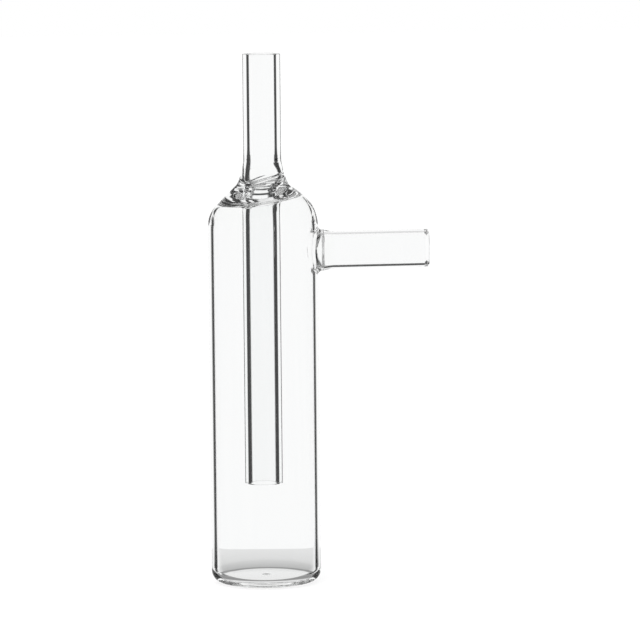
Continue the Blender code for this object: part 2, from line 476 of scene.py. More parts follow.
@dataclass(frozen=True)
class GlassFinish:
    """Clear borosilicate glass with faint lines left by drawing or flame work, named for its slot."""

    slot: str
    clear: Colour
    dense: Colour
    grain: tuple[float, float, float]
    grain_depth: float
    grain_detail: float = 2.0
    dense_below: float = 0.3
    clear_above: float = 0.7
    index: float = 1.47
    tint_power: float = 0.5
    gloss_power: float = 1.5

    def texture(self, wire: Wiring) -> tuple[Socket, Socket]:
        """Wire the glass's faint lines.

        Args:
            wire: The material's tree.

        Returns:
            The sockets of the tint and of the normal that the lines bump.
        """
        place = wire.add("ShaderNodeTexCoord")
        stretch = wire.add("ShaderNodeMapping")
        stretch.inputs["Scale"].default_value = self.grain
        wire.feed(stretch.inputs["Vector"], place.outputs["Object"])
        noise = wire.add("ShaderNodeTexNoise")
        noise.inputs["Scale"].default_value = 1.0
        noise.inputs["Detail"].default_value = self.grain_detail
        wire.feed(noise.inputs["Vector"], stretch.outputs["Vector"])
        stops = [(self.dense_below, self.dense), (self.clear_above, self.clear)]
        tint = wire.ramp(noise.outputs["Fac"], stops)
        bump = wire.add("ShaderNodeBump")
        bump.inputs["Strength"].default_value = 1.0
        bump.inputs["Distance"].default_value = self.grain_depth
        wire.feed(bump.inputs["Height"], noise.outputs["Fac"])
        return tint, bump.outputs["Normal"]

    def material(self) -> bpy.types.Material:
        """Make the finish's node material, with the gloss of clear glass at glancing angles.

        Returns:
            The material.
        """
        material = bpy.data.materials.new(self.slot)
        material.use_nodes = True
        nodes = material.node_tree.nodes
        wire = Wiring(material.node_tree)
        tint, normal = self.texture(wire)
        shader = nodes["Principled BSDF"]
        shader.inputs["Roughness"].default_value = 0.0
        shader.inputs["IOR"].default_value = self.index
        shader.inputs["Transmission Weight"].default_value = 1.0
        wire.feed(shader.inputs["Base Color"], tint)
        wire.feed(shader.inputs["Normal"], normal)
        edge = wire.add("ShaderNodeFresnel")
        edge.inputs["IOR"].default_value = self.index
        wire.feed(edge.inputs["Normal"], normal)
        half = wire.add("ShaderNodeGamma")
        half.inputs["Gamma"].default_value = self.tint_power
        wire.feed(half.inputs["Color"], tint)
        through = wire.add("ShaderNodeBsdfRefraction")
        through.inputs["Roughness"].default_value = 0.0
        through.inputs["IOR"].default_value = self.index
        wire.feed(through.inputs["Color"], half.outputs["Color"])
        wire.feed(through.inputs["Normal"], normal)
        both = wire.add("ShaderNodeMixShader")
        wire.feed(both.inputs["Fac"], wire.maths("POWER", edge.outputs["Fac"], self.gloss_power))
        wire.feed(both.inputs[1], through.outputs["BSDF"])
        wire.feed(both.inputs[2], shader.outputs["BSDF"])
        wire.feed(nodes["Material Output"].inputs["Surface"], both.outputs["Shader"])
        return material


@dataclass(frozen=True)
class FusedJoint:
    """Where two sections are melted into one, so that no face shows."""

    name: str = "fused_joint"

    def material(self) -> bpy.types.Material:
        """Make a material that light passes through unchanged.

        Returns:
            The material.
        """
        material = bpy.data.materials.new(self.name)
        material.use_nodes = True
        nodes = material.node_tree.nodes
        nodes.remove(nodes["Principled BSDF"])
        wire = Wiring(material.node_tree)
        clear = wire.add("ShaderNodeBsdfTransparent")
        wire.feed(nodes["Material Output"].inputs["Surface"], clear.outputs["BSDF"])
        return material


TUBING = GlassFinish(
    slot="tubing_glass",
    clear=(0.983, 0.985, 0.985, 1.0),
    dense=(0.972, 0.976, 0.976, 1.0),
    grain=(900.0, 900.0, 25.0),
    grain_depth=0.0002 * MM,
)
WORKED = GlassFinish(
    slot="worked_glass",
    clear=(0.980, 0.983, 0.982, 1.0),
    dense=(0.968, 0.972, 0.970, 1.0),
    grain=(350.0, 350.0, 350.0),
    grain_depth=0.001 * MM,
)


class Glassware:
    """Turns surfaces into closed, named pieces that ride on the part's body."""

    def __init__(self) -> None:
        """Make the finishes once, for every piece to share."""
        self.joint = FusedJoint().material()
        self.finishes = {finish.slot: finish.material() for finish in (TUBING, WORKED)}

    def piece(self, node: str, finish: GlassFinish, surfaces: list[Surface]) -> None:
        """Build one piece that stands for a node.

        Args:
            node: The node it stands for.
            finish: The glass finish it takes.
            surfaces: All its surfaces, which close it.
        """
        name = f"glass_{node}"
        mesh = self.mesh(name, surfaces)
        mesh.materials.append(self.finishes[finish.slot])
        mesh.materials.append(self.joint)
        made = bpy.data.objects.new(name, mesh)
        bpy.context.scene.collection.objects.link(made)
        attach(made, BODY)
        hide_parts(node)
        LOG.info("%s stands for %s with %d faces", name, node, len(mesh.polygons))

    @classmethod
    def mesh(cls, name: str, surfaces: list[Surface]) -> bpy.types.Mesh:
        """Weld surfaces into one mesh that keeps each surface's own normals.

        Args:
            name: The mesh's name.
            surfaces: Surfaces that share their edges.

        Returns:
            The mesh, with smooth faces and their skins as material numbers.
        """
        points = np.concatenate([surface.points.reshape(-1, 3) for surface in surfaces])
        normals = np.concatenate([surface.normals.reshape(-1, 3) for surface in surfaces])
        keys = np.round(points / WELD_STEP).astype(np.int64)
        _, first, welded = np.unique(keys, axis=0, return_index=True, return_inverse=True)
        welded = welded.reshape(-1)
        quads, skins, start = [], [], 0
        for surface in surfaces:
            rows, columns = surface.points.shape[:2]
            quads.append(start + cls.quads(rows, columns, surface.wraps))
            skins.append(np.full(len(quads[-1]), surface.skin.value))
            start += rows * columns
        corners = np.concatenate(quads)
        skin = np.concatenate(skins)
        crossed = np.cross(points[corners[:, 2]] - points[corners[:, 0]],
                           points[corners[:, 3]] - points[corners[:, 1]])
        inside_out = np.sum(crossed * normals[corners].sum(axis=1), axis=1) < 0.0
        corners[inside_out] = corners[inside_out, ::-1]
        fresh = welded[corners] != np.roll(welded[corners], 1, axis=1)
        whole = fresh.sum(axis=1) > 2
        corners, fresh, skin = corners[whole], fresh[whole], skin[whole]
        faces = [welded[quad[keep]].tolist() for quad, keep in zip(corners, fresh)]
        mesh = bpy.data.meshes.new(name)
        mesh.from_pydata(points[first].tolist(), [], faces)
        mesh.polygons.foreach_set("material_index", skin.tolist())
        mesh.shade_smooth()
        mesh.normals_split_custom_set(normals[corners[fresh]].tolist())
        mesh.update()
        return mesh

    @staticmethod
    def quads(rows: int, columns: int, wraps: bool) -> Array:
        """Number the corners of every quad of a grid.

        Args:
            rows: Number of rows of points.
            columns: Number of columns of points.
            wraps: True if the last column joins the first.

        Returns:
            Four corner numbers for each quad.
        """
        last = columns if wraps else columns - 1
        row, column = np.meshgrid(np.arange(rows - 1), np.arange(last), indexing="ij")
        beside = (column + 1) % columns
        corners = [row * columns + column, row * columns + beside]
        corners += [(row + 1) * columns + beside, (row + 1) * columns + column]
        return np.stack(corners, axis=-1).reshape(-1, 4)


@dataclass
class Vessel:
    """Base, body tube and shoulder: the outer wall of the bubbler."""

    radius: float
    base_seam: float
    shoulder_seam: float
    arm_height: float
    neck_radius: float = 7.3 * MM
    wall: float = 1.35 * MM
    floor: float = 1.8 * MM
    heel_radius: float = 3.2 * MM
    floor_fillet: float = 1.9 * MM
    pip_radius: float = 1.3 * MM
    pip_height: float = 0.2 * MM
    bend_radius: float = 8.0 * MM
    ceiling_rise: float = 5.85 * MM
    ceiling_start: float = 0.6 * MM
    ceiling_reach: float = 3.6 * MM
    slope: float = 45.0
    hole_outside: float = 6.228 * MM
    hole_inside: float = 5.131 * MM
    columns: int = 168
    window_columns: int = 14
    window_rings: int = 14
    fine_row: float = 0.5 * MM
    fine_below: float = 4.0 * MM
    coarse_row: float = 3.0 * MM
    arm_lift: float = 0.25 * MM

    @classmethod
    def fitted(cls) -> "Vessel":
        """Read the vessel's main sizes from the frame.

        Returns:
            The vessel.
        """
        low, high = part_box("body_tube")
        arm_low, arm_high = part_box("side_arm")
        return cls(
            radius=(high[1] - low[1]) / 2,
            base_seam=seam("base", "body_tube"),
            shoulder_seam=seam("body_tube", "shoulder"),
            arm_height=(arm_low[2] + arm_high[2]) / 2 + cls.arm_lift,
        )

    @property
    def bore(self) -> float:
        """Inner radius of the body."""
        return self.radius - self.wall

    @property
    def ceiling(self) -> float:
        """Height of the flat ceiling inside the shoulder."""
        return self.shoulder_seam + self.ceiling_rise

    @property
    def window_foot(self) -> float:
        """Lower edge of the window in the wall's grid, as far below the arm as the shoulder is above it."""
        return 2.0 * self.arm_height - self.shoulder_seam

    def handwork(self) -> Handwork:
        """The uneven shapes that this vessel's flame work leaves."""
        return Handwork(self.arm_height, self.radius, self.wall, self.cone_height(0.0))

    def angles(self) -> Array:
        """Angles of the wall's columns."""
        return even_angles(self.columns)

    def turned(self, *strands: Strand) -> list[Surface]:
        """Turn runs round the vessel's axis, in the wall's columns."""
        return [turn(strand, self.angles()) for strand in strands]

    def skin_radius(self, face: Face) -> float:
        """Radius of one side of the body wall."""
        return self.radius if face is Face.OUTSIDE else self.bore

    def hole_radius(self, face: Face) -> float:
        """Radius of the hole for the side arm, on one side of the body wall."""
        return self.hole_outside if face is Face.OUTSIDE else self.hole_inside

    def cone_height(self, radius: float) -> float:
        """Follow the shoulder's outer cone.

        Args:
            radius: Distance from the vessel's axis.

        Returns:
            The cone's height there.
        """
        slope = math.radians(self.slope)
        foot = self.radius - self.bend_radius * (1.0 - math.cos(slope))
        return self.shoulder_seam + self.bend_radius * math.sin(slope) + (foot - radius) * math.tan(slope)

    def base(self) -> list[Surface]:
        """Shape the flat bottom, rounded heel, wall and floor with its pip.

        Returns:
            The base's surfaces.
        """
        flat = self.radius - self.heel_radius
        outside = chain(
            straight((0.0, 0.0), (flat, 0.0), 8),
            bend((flat, self.heel_radius), self.heel_radius, -90.0, 0.0, 24),
            straight((self.radius, self.heel_radius), (self.radius, self.base_seam), 4),
        )
        corner = (self.bore - self.floor_fillet, self.floor + self.floor_fillet)
        share = np.linspace(0.0, 1.0, 17)
        rise = self.floor + self.pip_height * smooth(share, 0.0, 1.0)
        inside = chain(
            straight((self.bore, self.base_seam), (self.bore, corner[1]), 6),
            bend(corner, self.floor_fillet, 0.0, -90.0, 16),
            straight((corner[0], self.floor), (self.pip_radius, self.floor), 8),
            np.stack([self.pip_radius * (1.0 - share), rise], axis=1),
        )
        joint = fused((self.radius, self.base_seam), (self.bore, self.base_seam))
        return self.turned(Strand(outside), joint, Strand(inside))

    def rows(self) -> Array:
        """Space the body wall's rows, closer together near the side arm.

        Returns:
            Their heights, from the base to the shoulder.
        """
        low, high = self.window_foot, self.shoulder_seam
        start = low - self.fine_below
        coarse = np.linspace(self.base_seam, start, round((start - self.base_seam) / self.coarse_row) + 1)
        middle = np.linspace(start, low, round((low - start) / self.fine_row) + 1)
        window = np.linspace(low, high, round((high - low) / self.fine_row) + 1)
        return np.concatenate([coarse[:-1], middle[:-1], window])

    def window_edge(self, radius: float) -> Array:
        """Go once round the window in the wall's grid.

        Args:
            radius: Radius of the wall's surface.

        Returns:
            Points (y, z), in order from the lower edge on the near side.
        """
        sides = radius * np.sin(self.angles()[1] * np.arange(-self.window_columns, self.window_columns + 1))
        rows = self.rows()
        heights = rows[rows > self.window_foot - WELD_STEP]
        bottom = np.stack([sides[:-1], np.full(len(sides) - 1, heights[0])], axis=1)
        far = np.stack([np.full(len(heights) - 1, sides[-1]), heights[:-1]], axis=1)
        top = np.stack([sides[:0:-1], np.full(len(sides) - 1, heights[-1])], axis=1)
        near = np.stack([np.full(len(heights) - 1, sides[0]), heights[:0:-1]], axis=1)
        return np.concatenate([bottom, far, top, near])

    def hole_angles(self) -> Array:
        """Angles round the side arm at which the wall's window and the hole are joined."""
        edge = self.window_edge(self.radius)
        return np.arctan2(edge[:, 1] - self.arm_height, edge[:, 0])

    @staticmethod
    def on_wall(sides: Array, heights: Array, radius: float) -> Array:
        """Points on the side arm's side of a wall surface, from their y and z."""
        return np.stack([np.sqrt(radius**2 - sides**2), sides, heights], axis=-1)

    def hole_edge(self, angles: Array, radius: float, opening: float) -> Array:
        """Points on a ring round the hole, on a wall surface, before flame work."""
        return self.on_wall(opening * np.cos(angles), self.arm_height + opening * np.sin(angles), radius)

    def wall_skin(self, face: Face) -> list[Surface]:
        """Shape one side of the body wall, with the hole for the side arm.

        Args:
            face: The side of the wall.

        Returns:
            The wall in two grids and the ring between the window and the hole.
        """
        radius, opening = self.skin_radius(face), self.hole_radius(face)
        half = self.window_columns
        rows = self.rows()
        step = self.angles()[1]
        round_back = step * np.arange(half, self.columns - half + 1)
        across = step * np.arange(-half, half + 1)
        grids = []
        for heights, turns in ((rows, round_back), (rows[rows < self.window_foot + WELD_STEP], across)):
            out = np.stack([np.cos(turns), np.sin(turns), np.zeros(len(turns))], axis=1)
            points = radius * out[None] + np.array([0.0, 0.0, 1.0]) * heights[:, None, None]
            normals = face.value * np.broadcast_to(out[None], points.shape)
            grids.append(Surface(points, normals, wraps=False))
        angles = self.hole_angles()
        hole = np.stack([opening * np.cos(angles), self.arm_height + opening * np.sin(angles)], axis=1)
        share = np.linspace(0.0, 1.0, self.window_rings + 1)[:, None, None]
        flat = self.window_edge(radius)[None] * (1.0 - share) + hole[None] * share
        points = self.on_wall(flat[..., 0], flat[..., 1], radius)
        grids.append(Surface(points, face.value * unit(points * np.array([1.0, 1.0, 0.0]))))
        return grids

    def hole_joint(self, facing: float) -> Surface:
        """Shape the ring through the wall's thickness where the side arm's boss is fused on.

        Args:
            facing: 1 to face away from the side arm's axis, -1 to face it.

        Returns:
            The ring, before flame work.
        """
        angles = self.hole_angles()
        edges = [self.hole_edge(angles, self.skin_radius(face), self.hole_radius(face)) for face in Face]
        out = np.stack([np.zeros(len(angles)), np.cos(angles), np.sin(angles)], axis=1)
        return Surface(np.stack(edges), facing * np.stack([out, out]), Skin.JOINT)

    def body_tube(self) -> list[Surface]:
        """Shape the straight wall with the hole that opens into the side arm.

        Returns:
            The body tube's surfaces.
        """
        lower = fused((self.bore, self.base_seam), (self.radius, self.base_seam))
        upper = fused((self.radius, self.shoulder_seam), (self.bore, self.shoulder_seam))
        walls = self.wall_skin(Face.OUTSIDE) + self.wall_skin(Face.BORE)
        return walls + self.turned(lower, upper) + [self.hole_joint(-1.0)]

    def shoulder(self) -> list[Surface]:
        """Shape the wall that bends in from the body to a cone, with a round ceiling inside.

        Returns:
            The shoulder's surfaces.
        """
        centre = (self.radius - self.bend_radius, self.shoulder_seam)
        top = self.cone_height(self.neck_radius)
        outer_arc = bend(centre, self.bend_radius, 0.0, self.slope, 28)
        start = self.shoulder_seam + self.ceiling_start
        quarter = bend((0.0, 0.0), 1.0, 90.0, 0.0, 48) * [self.ceiling_reach, self.ceiling - start]
        inner_arc = quarter + [self.bore - self.ceiling_reach, start]
        outside = chain(outer_arc, straight(tuple(outer_arc[-1]), (self.neck_radius, top), 16))
        inside = chain(
            straight((self.neck_radius, self.ceiling), tuple(inner_arc[0]), 1),
            inner_arc,
            straight((self.bore, start), (self.bore, self.shoulder_seam), 2),
        )
        upper = fused((self.neck_radius, top), (self.neck_radius, self.ceiling))
        lower = fused((self.bore, self.shoulder_seam), (self.radius, self.shoulder_seam))
        return self.turned(Strand(outside), upper, Strand(inside), lower)

    def build(self, shop: Glassware) -> None:
        """Make the vessel's three pieces.

        Args:
            shop: Makes the pieces.
        """
        work = self.handwork()
        shop.piece("base", WORKED, [work.apply(part) for part in self.base()])
        shop.piece("body_tube", TUBING, [work.apply(part) for part in self.body_tube()])
        shop.piece("shoulder", WORKED, [work.apply(part) for part in self.shoulder()])


@dataclass
class InletTube:
    """Inlet stem, ring seal and dip tube: one passage down the vessel's axis."""

    vessel: Vessel
    radius: float
    stem_seam: float
    dip_seam: float
    rim_height: float
    dip_end: float
    bore: float = 3.42 * MM
    seal_below: float = 1.3 * MM
    sweep: float = 17.4 * MM
    sweep_lean: float = 27.0
    corner: float = 0.8 * MM
    under_fillet: float = 1.2 * MM
    flare: float = 0.95 * MM
    flare_foot: Fade = Fade(104.9 * MM, 105.7 * MM)
    flare_head: Fade = Fade(105.7 * MM, 113.0 * MM)
    ring: float = 0.036 * MM
    ring_height: float = 104.1 * MM
    ring_length: float = 1.65 * MM
    ring_lead: float = 0.6 * MM
    ring_head: Fade = Fade(105.7 * MM, 107.2 * MM)
    ridge: float = 0.22 * MM
    ridge_height: float = 107.3 * MM
    ridge_spread: float = 0.35 * MM
    arris: float = 0.06 * MM

    @classmethod
    def fitted(cls, vessel: Vessel) -> "InletTube":
        """Read the passage's main sizes from the frame.

        Args:
            vessel: The vessel that it runs down.

        Returns:
            The passage.
        """
        low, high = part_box("inlet_stem")
        return cls(
            vessel=vessel,
            radius=(high[0] - low[0]) / 2,
            stem_seam=seam("ring_seal", "inlet_stem"),
            dip_seam=vessel.ceiling - cls.seal_below,
            rim_height=high[2],
            dip_end=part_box("dip_tube")[0][2],
        )

    def neck(self) -> Array:
        """Shape the outside of the neck.

        Returns:
            Points from the shoulder's cone round a tight corner and up the neck's sweep.
        """
        vessel = self.vessel
        slope, lean = math.radians(vessel.slope), math.radians(self.sweep_lean)
        swept = self.radius + self.sweep * (1.0 - math.cos(lean))
        touch = swept + self.corner * (math.cos(lean) - math.sin(slope))
        level = vessel.cone_height(touch) + self.corner * math.cos(slope)
        corner = bend((swept + self.corner * math.cos(lean), level), self.corner,
                      270.0 - vessel.slope, 180.0 + self.sweep_lean, 12)
        top = corner[-1][1] + self.sweep * math.sin(lean)
        rise = bend((self.radius + self.sweep, top), self.sweep, 180.0 + self.sweep_lean, 180.0, 40)
        edge = vessel.neck_radius
        return chain(straight((edge, vessel.cone_height(edge)), tuple(corner[0]), 3), corner, rise)

    def split_neck(self) -> tuple[Array, Array]:
        """Cut the neck's outside at the joint between ring seal and stem.

        Returns:
            The points below the joint and the points above it.
        """
        run = self.neck()
        heights = run[:, 1]
        cut = np.array([[np.interp(self.stem_seam, heights, run[:, 0]), self.stem_seam]])
        below, above = run[heights < self.stem_seam], run[heights > self.stem_seam]
        return np.vstack([below, cut]), np.vstack([cut, above])

    def bore_run(self, top: float, end: float) -> Array:
        """Shape the bore of the stem and the seal, wider above and below a narrow crease.

        Args:
            top: Height where the run starts.
            end: Height where the run ends.

        Returns:
            The bore's points, from the top down.
        """
        heights = np.linspace(top, end, 121)
        wide = self.flare * self.flare_foot.rise(heights) * self.flare_head.fall(heights)
        ridge = self.ridge * hump(heights, self.ridge_height, self.ridge_spread)
        rings = self.ring * np.sin((heights - self.ring_height) * (2.0 * math.pi / self.ring_length))
        rings = rings * smooth(heights, self.dip_seam, self.dip_seam + self.ring_lead)
        rings = rings * self.ring_head.fall(heights)
        return np.stack([self.bore + wide - ridge + rings, heights], axis=1)

    def cut_end(self, height: float) -> list[Array]:
        """Shape a square-cut rim with its edges just broken.

        Args:
            height: Height of the rim.

        Returns:
            Runs over the rim, from the outside to the bore.
        """
        level = height - self.arris
        below = level - self.arris
        outer = (self.radius - self.arris, level)
        inner = (self.bore + self.arris, level)
        return [
            straight((self.radius, below), (self.radius, level), 1),
            bend(outer, self.arris, 0.0, 90.0, 6),
            straight((outer[0], height), (inner[0], height), 4),
            bend(inner, self.arris, 90.0, 180.0, 6),
            straight((self.bore, level), (self.bore, below), 1),
        ]

    def stem(self) -> list[Surface]:
        """Shape the upright tube with a cut rim.

        Returns:
            The inlet stem's surfaces.
        """
        level = self.rim_height - 2.0 * self.arris
        neck = self.split_neck()[1]
        wall = chain(
            neck,
            straight(tuple(neck[-1]), (self.radius, level), 12),
            *self.cut_end(self.rim_height),
            self.bore_run(level, self.stem_seam),
        )
        return self.vessel.turned(Strand(wall), fused(tuple(wall[-1]), tuple(neck[0])))

    def dip_tube(self) -> list[Surface]:
        """Shape the tube inside the body, open above the floor.

        Returns:
            The dip tube's surfaces.
        """
        level = self.dip_end + 2.0 * self.arris
        flipped = [np.array([0.0, 2.0 * self.dip_end]) + run * np.array([1.0, -1.0])
                   for run in self.cut_end(self.dip_end)]
        wall = chain(
            straight((self.bore, self.dip_seam), (self.bore, level), 26),
            *[run[::-1] for run in flipped[::-1]],
            straight((self.radius, level), (self.radius, self.dip_seam), 26),
        )
        joint = fused((self.radius, self.dip_seam), (self.bore, self.dip_seam))
        return self.vessel.turned(Strand(wall), joint)

    def ring_seal(self) -> list[Surface]:
        """Shape the thick fused ring between shoulder, stem and dip tube.

        Returns:
            The ring seal's surfaces.
        """
        vessel = self.vessel
        edge = vessel.neck_radius
        outside = self.split_neck()[0]
        bore = self.bore_run(self.stem_seam, self.dip_seam)
        hollow = (self.radius + self.under_fillet, vessel.ceiling - self.under_fillet)
        inside = chain(
            straight((self.radius, self.dip_seam), (self.radius, hollow[1]), 1),
            bend(hollow, self.under_fillet, 180.0, 90.0, 28),
            straight((hollow[0], vessel.ceiling), (edge, vessel.ceiling), 3),
        )
        return vessel.turned(
            Strand(outside),
            fused(tuple(outside[-1]), tuple(bore[0])),
            Strand(bore),
            fused((self.bore, self.dip_seam), (self.radius, self.dip_seam)),
            Strand(inside),
            fused((edge, vessel.ceiling), (edge, vessel.cone_height(edge))),
        )

    def build(self, shop: Glassware) -> None:
        """Make the passage's three pieces.

        Args:
            shop: Makes the pieces.
        """
        work = self.vessel.handwork()
        shop.piece("ring_seal", WORKED, [work.apply(part) for part in self.ring_seal()])
        shop.piece("inlet_stem", TUBING, [work.apply(part) for part in self.stem()])
        shop.piece("dip_tube", TUBING, [work.apply(part) for part in self.dip_tube()])


@dataclass
class SideArm:
    """Outlet tube and the boss that joins it to the body wall."""

    vessel: Vessel
    radius: float
    start: float
    end: float
    bore: float = 4.2 * MM
    lip_length: float = 1.3 * MM
    lip_swell: float = 0.3 * MM
    lip_round: float = 0.3 * MM
    bead_radius: float = 5.466 * MM
    bead_place: float = 15.52 * MM
    boss_end: float = 18.396 * MM
    mouth_radius: float = 4.336 * MM
    mouth_place: float = 14.54 * MM
    taper_place: float = 16.2 * MM
    weld: float = 0.293 * MM
    weld_place: float = 15.653 * MM
    weld_spread: float = 0.15 * MM
    weld_lead: float = 0.5 * MM
    rise: float = 0.5

    @classmethod
    def fitted(cls, vessel: Vessel) -> "SideArm":
        """Read the arm's main sizes from the frame.

        Args:
            vessel: The vessel that it stands on.

        Returns:
            The arm.
        """
        low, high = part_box("side_arm")
        return cls(
            vessel=vessel,
            radius=(high[2] - low[2]) / 2,
            start=seam("side_arm_seal", "side_arm", 0),
            end=high[0],
        )

    def lay(self, strand: Strand) -> Surface:
        """Turn a run round the arm's axis, which leaves the wall and climbs a little.

        Args:
            strand: The run, as radius and distance from the vessel's axis.

        Returns:
            The surface in place.
        """
        made = turn(strand, self.vessel.hole_angles())
        points, normals = made.points[..., [2, 0, 1]], made.normals[..., [2, 0, 1]]
        climb = math.tan(math.radians(self.rise))
        run = np.maximum(points[..., 0] - self.bead_place, 0.0)
        points[..., 2] += self.vessel.arm_height + climb * run
        normals[..., 0] -= climb * normals[..., 2] * (run > 0.0)
        return Surface(points, unit(normals), strand.skin)

    def saddle(self, face: Face) -> Surface:
        """Shape the smooth band from the hole in the wall to a ring about the arm's axis.

        Args:
            face: The side of the glass.

        Returns:
            The band.
        """
        vessel = self.vessel
        work = vessel.handwork()
        wall, hole = vessel.skin_radius(face), vessel.hole_radius(face)
        outside = face is Face.OUTSIDE
        ring = self.bead_radius if outside else self.mouth_radius
        place = self.bead_place if outside else self.mouth_place

        def curve(share: Array, angle: Array) -> Array:
            """Follow the band from the wall to the ring.

            Args:
                share: Shares of the band's length.
                angle: Angles round the arm.

            Returns:
                Points on the band.
            """
            foot = work.shift(vessel.hole_edge(angle, wall, hole))
            nearer = work.shift(vessel.hole_edge(angle, wall, hole - SLOPE_STEP))
            round_arm = np.stack([np.zeros_like(angle), np.cos(angle), np.sin(angle)], axis=-1)
            head = ring * round_arm + np.array([place, 0.0, vessel.arm_height])
            span = np.linalg.norm(head - foot, axis=-1, keepdims=True)
            leave = unit(nearer - foot) * span
            arrive = np.array([1.0, 0.0, 0.0]) * span
            t = share[..., None]
            joined = (2 * t**3 - 3 * t**2 + 1) * foot + (t**3 - 2 * t**2 + t) * leave
            return joined + (3 * t**2 - 2 * t**3) * head + (t**3 - t**2) * arrive

        return self.sampled(curve, np.linspace(0.0, 1.0, 25), face)

    def sampled(self, curve: Callable[[Array, Array], Array], shares: Array, face: Face) -> Surface:
        """Sample a band round the arm, with normals from its slopes.

        Args:
            curve: Gives points for shares of the band's length and angles round the arm.
            shares: Shares of the band's length, one for each row.
            face: The side of the glass.

        Returns:
            The sampled band.
        """
        share, angle = np.meshgrid(shares, self.vessel.hole_angles(), indexing="ij")
        along = curve(share + BAND_STEP, angle) - curve(share - BAND_STEP, angle)
        across = curve(share, angle + BAND_STEP) - curve(share, angle - BAND_STEP)
        normals = unit(np.cross(along, across))
        points = curve(share, angle)
        outward = points - np.array([0.0, 0.0, self.vessel.arm_height])
        outward[..., 0] = 0.0
        return Surface(points, normals * face.value * np.sign(np.sum(normals * outward, axis=-1).mean()))

    def seal(self) -> list[Surface]:
        """Shape the boss between the hole in the wall and the arm, with the weld's ridge in its bore.

        Returns:
            The side arm seal's surfaces.
        """
        outside = chain(
            glide((self.bead_radius, self.bead_place), (self.radius, self.boss_end), 32),
            straight((self.radius, self.boss_end), (self.radius, self.start), 2),
        )
        places = np.linspace(self.start, self.mouth_place, 81)
        narrow = self.weld * hump(places, self.weld_place, self.weld_spread)
        narrow = narrow * smooth(places, self.mouth_place, self.mouth_place + self.weld_lead)
        taper = (self.bore - self.mouth_radius) * smooth(places, self.taper_place, self.start)
        inside = np.stack([self.mouth_radius + taper - narrow, places], axis=1)
        end = fused((self.radius, self.start), (self.bore, self.start))
        joint = self.vessel.handwork().apply(self.vessel.hole_joint(1.0))
        laid = [self.lay(strand) for strand in (Strand(outside), Strand(inside), end)]
        return [self.saddle(face) for face in Face] + [joint] + laid

    def tube(self) -> list[Surface]:
        """Shape the arm, with its bore drawn in a little at the rounded lip.

        Returns:
            The side arm's surfaces.
        """
        lip_bore = self.bore - self.lip_swell
        level = self.end - self.lip_round
        outer = (self.radius - self.lip_round, level)
        inner = (lip_bore + self.lip_round, level)
        wall = chain(
            straight((self.radius, self.start), (self.radius, level), 10),
            bend(outer, self.lip_round, 0.0, 90.0, 10),
            straight((outer[0], self.end), (inner[0], self.end), 4),
            bend(inner, self.lip_round, 90.0, 180.0, 10),
            glide((lip_bore, level), (self.bore, self.end - self.lip_length), 12),
            straight((self.bore, self.end - self.lip_length), (self.bore, self.start), 10),
        )
        joint = fused((self.bore, self.start), (self.radius, self.start))
        return [self.lay(strand) for strand in (Strand(wall), joint)]

    def build(self, shop: Glassware) -> None:
        """Make the arm's two pieces."""
        shop.piece("side_arm_seal", WORKED, self.seal())
        shop.piece("side_arm", TUBING, self.tube())


@dataclass(frozen=True)
class Card:
    """A panel round the glass, placed by the directions in which the glass sees it, in degrees."""

    left: float
    right: float
    low: float
    high: float
    shade: float
    soft: float = 1.5
    soft_level: float = 0.2
    lean: float = 0.0
    lean_level: float = -4.6
    lean_soft: float = 0.6

    def light(self, wire: Wiring, side: Value, level: Value) -> Socket:
        """Work out the share of the paper's light that is left in each direction.

        Args:
            wire: The world's tree.
            side: Direction round the glass, clockwise from +Y.
            level: Direction above or below the horizon.

        Returns:
            The share's socket, the card's shade on the card and 1 off it.
        """
        middle, half = (self.left + self.right) / 2, (self.right - self.left) / 2
        drawn = wire.maths("MULTIPLY", wire.ease(level, self.lean_level, self.lean_soft), self.lean / 2)
        away = wire.maths("SUBTRACT", wire.maths("SUBTRACT", side, middle), drawn)
        away = wire.maths("ABSOLUTE", wire.maths("WRAP", away, 180.0, -180.0))
        away = wire.maths("ADD", away, wire.maths("ABSOLUTE", drawn))
        mask = wire.ease(away, half, self.soft, falling=True)
        mask = wire.maths("MULTIPLY", mask, wire.ease(level, self.low, self.soft_level))
        mask = wire.maths("MULTIPLY", mask, wire.ease(level, self.high, self.soft_level, falling=True))
        return wire.maths("MULTIPLY_ADD", mask, self.shade - 1.0, 1.0)


RIGHT_LOW = Card(left=32.0, right=108.0, low=-36.0, high=-2.6, shade=0.07, soft=5.0, lean=9.0)
RIGHT_HIGH = Card(left=25.0, right=108.0, low=-2.6, high=45.0, shade=0.05, soft=5.0)
LEFT_LOW = Card(left=-68.0, right=-26.0, low=-20.4, high=-2.6, shade=0.07, soft=5.0, lean=-9.0)
LEFT_HIGH = Card(left=-68.0, right=-19.0, low=-2.6, high=45.0, shade=0.05, soft=5.0)
RIGHT_FOOT = Card(left=24.0, right=108.0, low=-10.2, high=-9.1, shade=0.25, soft=4.0, soft_level=0.35)
LEFT_FOOT = Card(left=-68.0, right=-20.0, low=-10.2, high=-9.1, shade=0.25, soft=4.0, soft_level=0.35)
UNDERNEATH = Card(left=-190.0, right=190.0, low=-95.0, high=-32.0, shade=0.1, soft_level=1.5)
OVERHEAD = Card(left=-190.0, right=190.0, low=62.0, high=95.0, shade=0.4, soft_level=6.0)
HIGH_VEIL = Card(left=-30.0, right=36.0, low=24.0, high=66.0, shade=0.75, soft_level=4.0)
FAR_LEFT = Card(left=-112.0, right=-72.0, low=-36.0, high=-17.0, shade=0.07, soft=5.0)
IN_FRONT = Card(left=160.0, right=245.0, low=-36.0, high=45.0, shade=0.07, soft=5.0)
LEFT_HEEL = Card(left=-30.0, right=-16.0, low=-30.5, high=-20.4, shade=0.25, soft=4.0)
